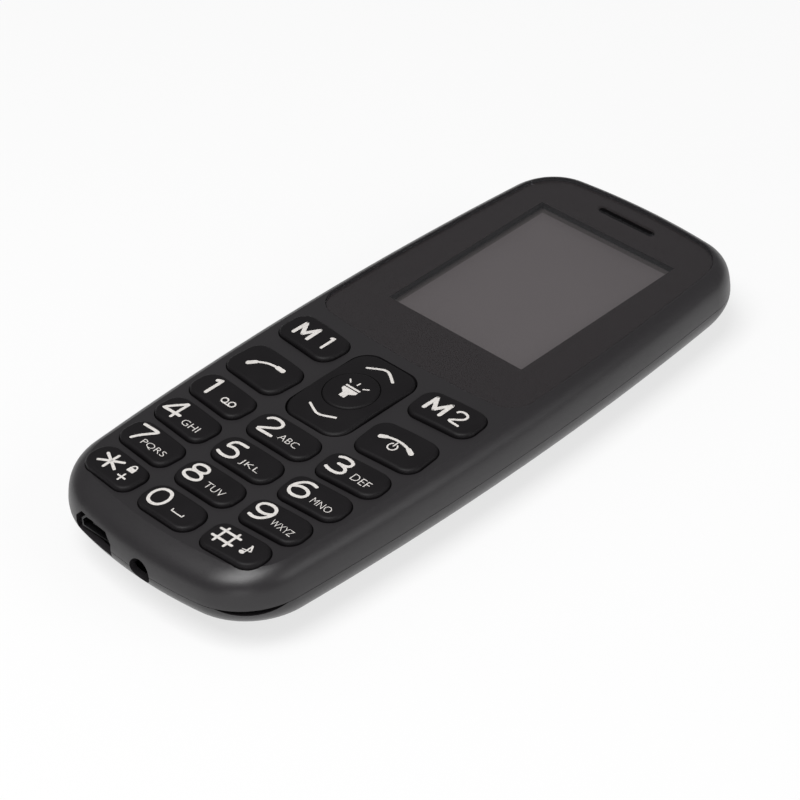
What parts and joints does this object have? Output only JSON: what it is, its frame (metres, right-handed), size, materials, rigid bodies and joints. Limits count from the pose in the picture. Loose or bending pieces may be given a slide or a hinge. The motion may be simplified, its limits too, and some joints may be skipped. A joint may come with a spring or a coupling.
{
  "type": "feature phone",
  "caption": "Feature phone lying on its back: dark domed shell, small colour display, raised number keys, call and end keys and a rocker, with its inside pieces.",
  "frame": {"origin": "the middle of the footprint, on the surface that the flat back of the rear cover lies on", "axes": "+Z out of the screen, +Y along the phone towards the earpiece, +X towards the right-hand keys"},
  "size_m": [0.05, 0.115, 0.0147],
  "materials": {
    "shell": "satin moulded, fine grain",
    "key_plastic": "satin",
    "clear_window": "clear gloss",
    "black_border": "printed black",
    "display": "dark grey panel, switched off",
    "inner_plastic": "moulded",
    "soft_rubber": "soft",
    "ribbon": "amber film",
    "mesh": "blackened mesh",
    "steel": "stamped sheet",
    "brass_weight": "plain",
    "board": "solder mask",
    "chip": "moulded",
    "light": "clear resin",
    "battery_wrap": "plain grey film"
  },
  "bodies": {
    "phone": {"front_housing": "shell", "rear_chassis": "inner_plastic", "display_lens": "clear_window", "lens_adhesive": "black_border", "lcd_glass": "display", "lcd_backlight": "inner_plastic", "lcd_gasket": "soft_rubber", "lcd_flex": "ribbon", "earpiece_mesh": "mesh", "earpiece_gasket": "soft_rubber", "earpiece": "steel", "keypad_mat": "soft_rubber", "dome_sheet": "ribbon", "key_domes": "steel", "keypad_leds": "light", "main_board": "board", "usb_socket": "steel", "audio_jack": "inner_plastic", "microphone": "steel", "rf_shield": "steel", "baseband_shield": "steel", "board_components": "chip", "sim_holder_1": "steel", "sim_holder_2": "steel", "memory_card_holder": "steel", "battery_connector": "chip", "loudspeaker": "steel", "speaker_gasket": "soft_rubber", "vibration_motor": "steel", "antenna": "brass_weight", "torch_lens": "clear_window", "torch_led": "light", "chassis_screws": "steel"},
    "key_1_body": {"key_1": "key_plastic"},
    "key_2_body": {"key_2": "key_plastic"},
    "key_3_body": {"key_3": "key_plastic"},
    "key_4_body": {"key_4": "key_plastic"},
    "key_5_body": {"key_5": "key_plastic"},
    "key_6_body": {"key_6": "key_plastic"},
    "key_7_body": {"key_7": "key_plastic"},
    "key_8_body": {"key_8": "key_plastic"},
    "key_9_body": {"key_9": "key_plastic"},
    "key_star_body": {"key_star": "key_plastic"},
    "key_0_body": {"key_0": "key_plastic"},
    "key_hash_body": {"key_hash": "key_plastic"},
    "key_memory_1_body": {"key_memory_1": "key_plastic"},
    "key_memory_2_body": {"key_memory_2": "key_plastic"},
    "key_call_body": {"key_call": "key_plastic"},
    "key_end_body": {"key_end": "key_plastic"},
    "key_nav_body": {"key_nav": "key_plastic"},
    "key_torch_body": {"key_torch": "key_plastic"},
    "rear_cover_body": {"rear_cover": "shell"},
    "battery_body": {"battery": "battery_wrap"},
    "motor_weight_body": {"motor_weight": "brass_weight"}
  },
  "joints": [
    {"name": "key_1_press", "type": "slide", "parent": "phone", "child": "key_1_body", "axis": [0, 0, -1], "range_m": [0, 0.0004], "stiffness_N_per_m": 1500},
    {"name": "key_2_press", "type": "slide", "parent": "phone", "child": "key_2_body", "axis": [0, 0, -1], "range_m": [0, 0.0004], "stiffness_N_per_m": 1500},
    {"name": "key_3_press", "type": "slide", "parent": "phone", "child": "key_3_body", "axis": [0, 0, -1], "range_m": [0, 0.0004], "stiffness_N_per_m": 1500},
    {"name": "key_4_press", "type": "slide", "parent": "phone", "child": "key_4_body", "axis": [0, 0, -1], "range_m": [0, 0.0004], "stiffness_N_per_m": 1500},
    {"name": "key_5_press", "type": "slide", "parent": "phone", "child": "key_5_body", "axis": [0, 0, -1], "range_m": [0, 0.0004], "stiffness_N_per_m": 1500},
    {"name": "key_6_press", "type": "slide", "parent": "phone", "child": "key_6_body", "axis": [0, 0, -1], "range_m": [0, 0.0004], "stiffness_N_per_m": 1500},
    {"name": "key_7_press", "type": "slide", "parent": "phone", "child": "key_7_body", "axis": [0, 0, -1], "range_m": [0, 0.0004], "stiffness_N_per_m": 1500},
    {"name": "key_8_press", "type": "slide", "parent": "phone", "child": "key_8_body", "axis": [0, 0, -1], "range_m": [0, 0.0004], "stiffness_N_per_m": 1500},
    {"name": "key_9_press", "type": "slide", "parent": "phone", "child": "key_9_body", "axis": [0, 0, -1], "range_m": [0, 0.0004], "stiffness_N_per_m": 1500},
    {"name": "key_star_press", "type": "slide", "parent": "phone", "child": "key_star_body", "axis": [0, 0, -1], "range_m": [0, 0.0004], "stiffness_N_per_m": 1500},
    {"name": "key_0_press", "type": "slide", "parent": "phone", "child": "key_0_body", "axis": [0, 0, -1], "range_m": [0, 0.0004], "stiffness_N_per_m": 1500},
    {"name": "key_hash_press", "type": "slide", "parent": "phone", "child": "key_hash_body", "axis": [0, 0, -1], "range_m": [0, 0.0004], "stiffness_N_per_m": 1500},
    {"name": "key_memory_1_press", "type": "slide", "parent": "phone", "child": "key_memory_1_body", "axis": [0, 0, -1], "range_m": [0, 0.0004], "stiffness_N_per_m": 1500},
    {"name": "key_memory_2_press", "type": "slide", "parent": "phone", "child": "key_memory_2_body", "axis": [0, 0, -1], "range_m": [0, 0.0004], "stiffness_N_per_m": 1500},
    {"name": "key_call_press", "type": "slide", "parent": "phone", "child": "key_call_body", "axis": [0, 0, -1], "range_m": [0, 0.0004], "stiffness_N_per_m": 1500},
    {"name": "key_end_press", "type": "slide", "parent": "phone", "child": "key_end_body", "axis": [0, 0, -1], "range_m": [0, 0.0004], "stiffness_N_per_m": 1500},
    {"name": "key_torch_press", "type": "slide", "parent": "key_nav_body", "child": "key_torch_body", "axis": [0, 0, -1], "range_m": [0, 0.0004], "stiffness_N_per_m": 1500},
    {"name": "key_nav_rock", "type": "hinge", "parent": "phone", "child": "key_nav_body", "pos_m": [0, -0.01225, 0.0115], "axis": [1, 0, 0], "range_deg": [-2, 2], "stiffness_Nm_per_rad": 0.03},
    {"name": "rear_cover_lift", "type": "slide", "parent": "phone", "child": "rear_cover_body", "axis": [0, 0, -1], "range_m": [0, 0.03]},
    {"name": "battery_lift", "type": "slide", "parent": "phone", "child": "battery_body", "axis": [0, 0, -1], "range_m": [0, 0.015]},
    {"name": "motor_weight_spin", "type": "hinge", "parent": "phone", "child": "motor_weight_body", "pos_m": [-0.0049, 0.0404, 0.0055], "axis": [1, 0, 0], "continuous": true}
  ],
  "couplings": [
    {"joint": "battery_lift", "follows": "rear_cover_lift", "ratio": 0.5}
  ]
}
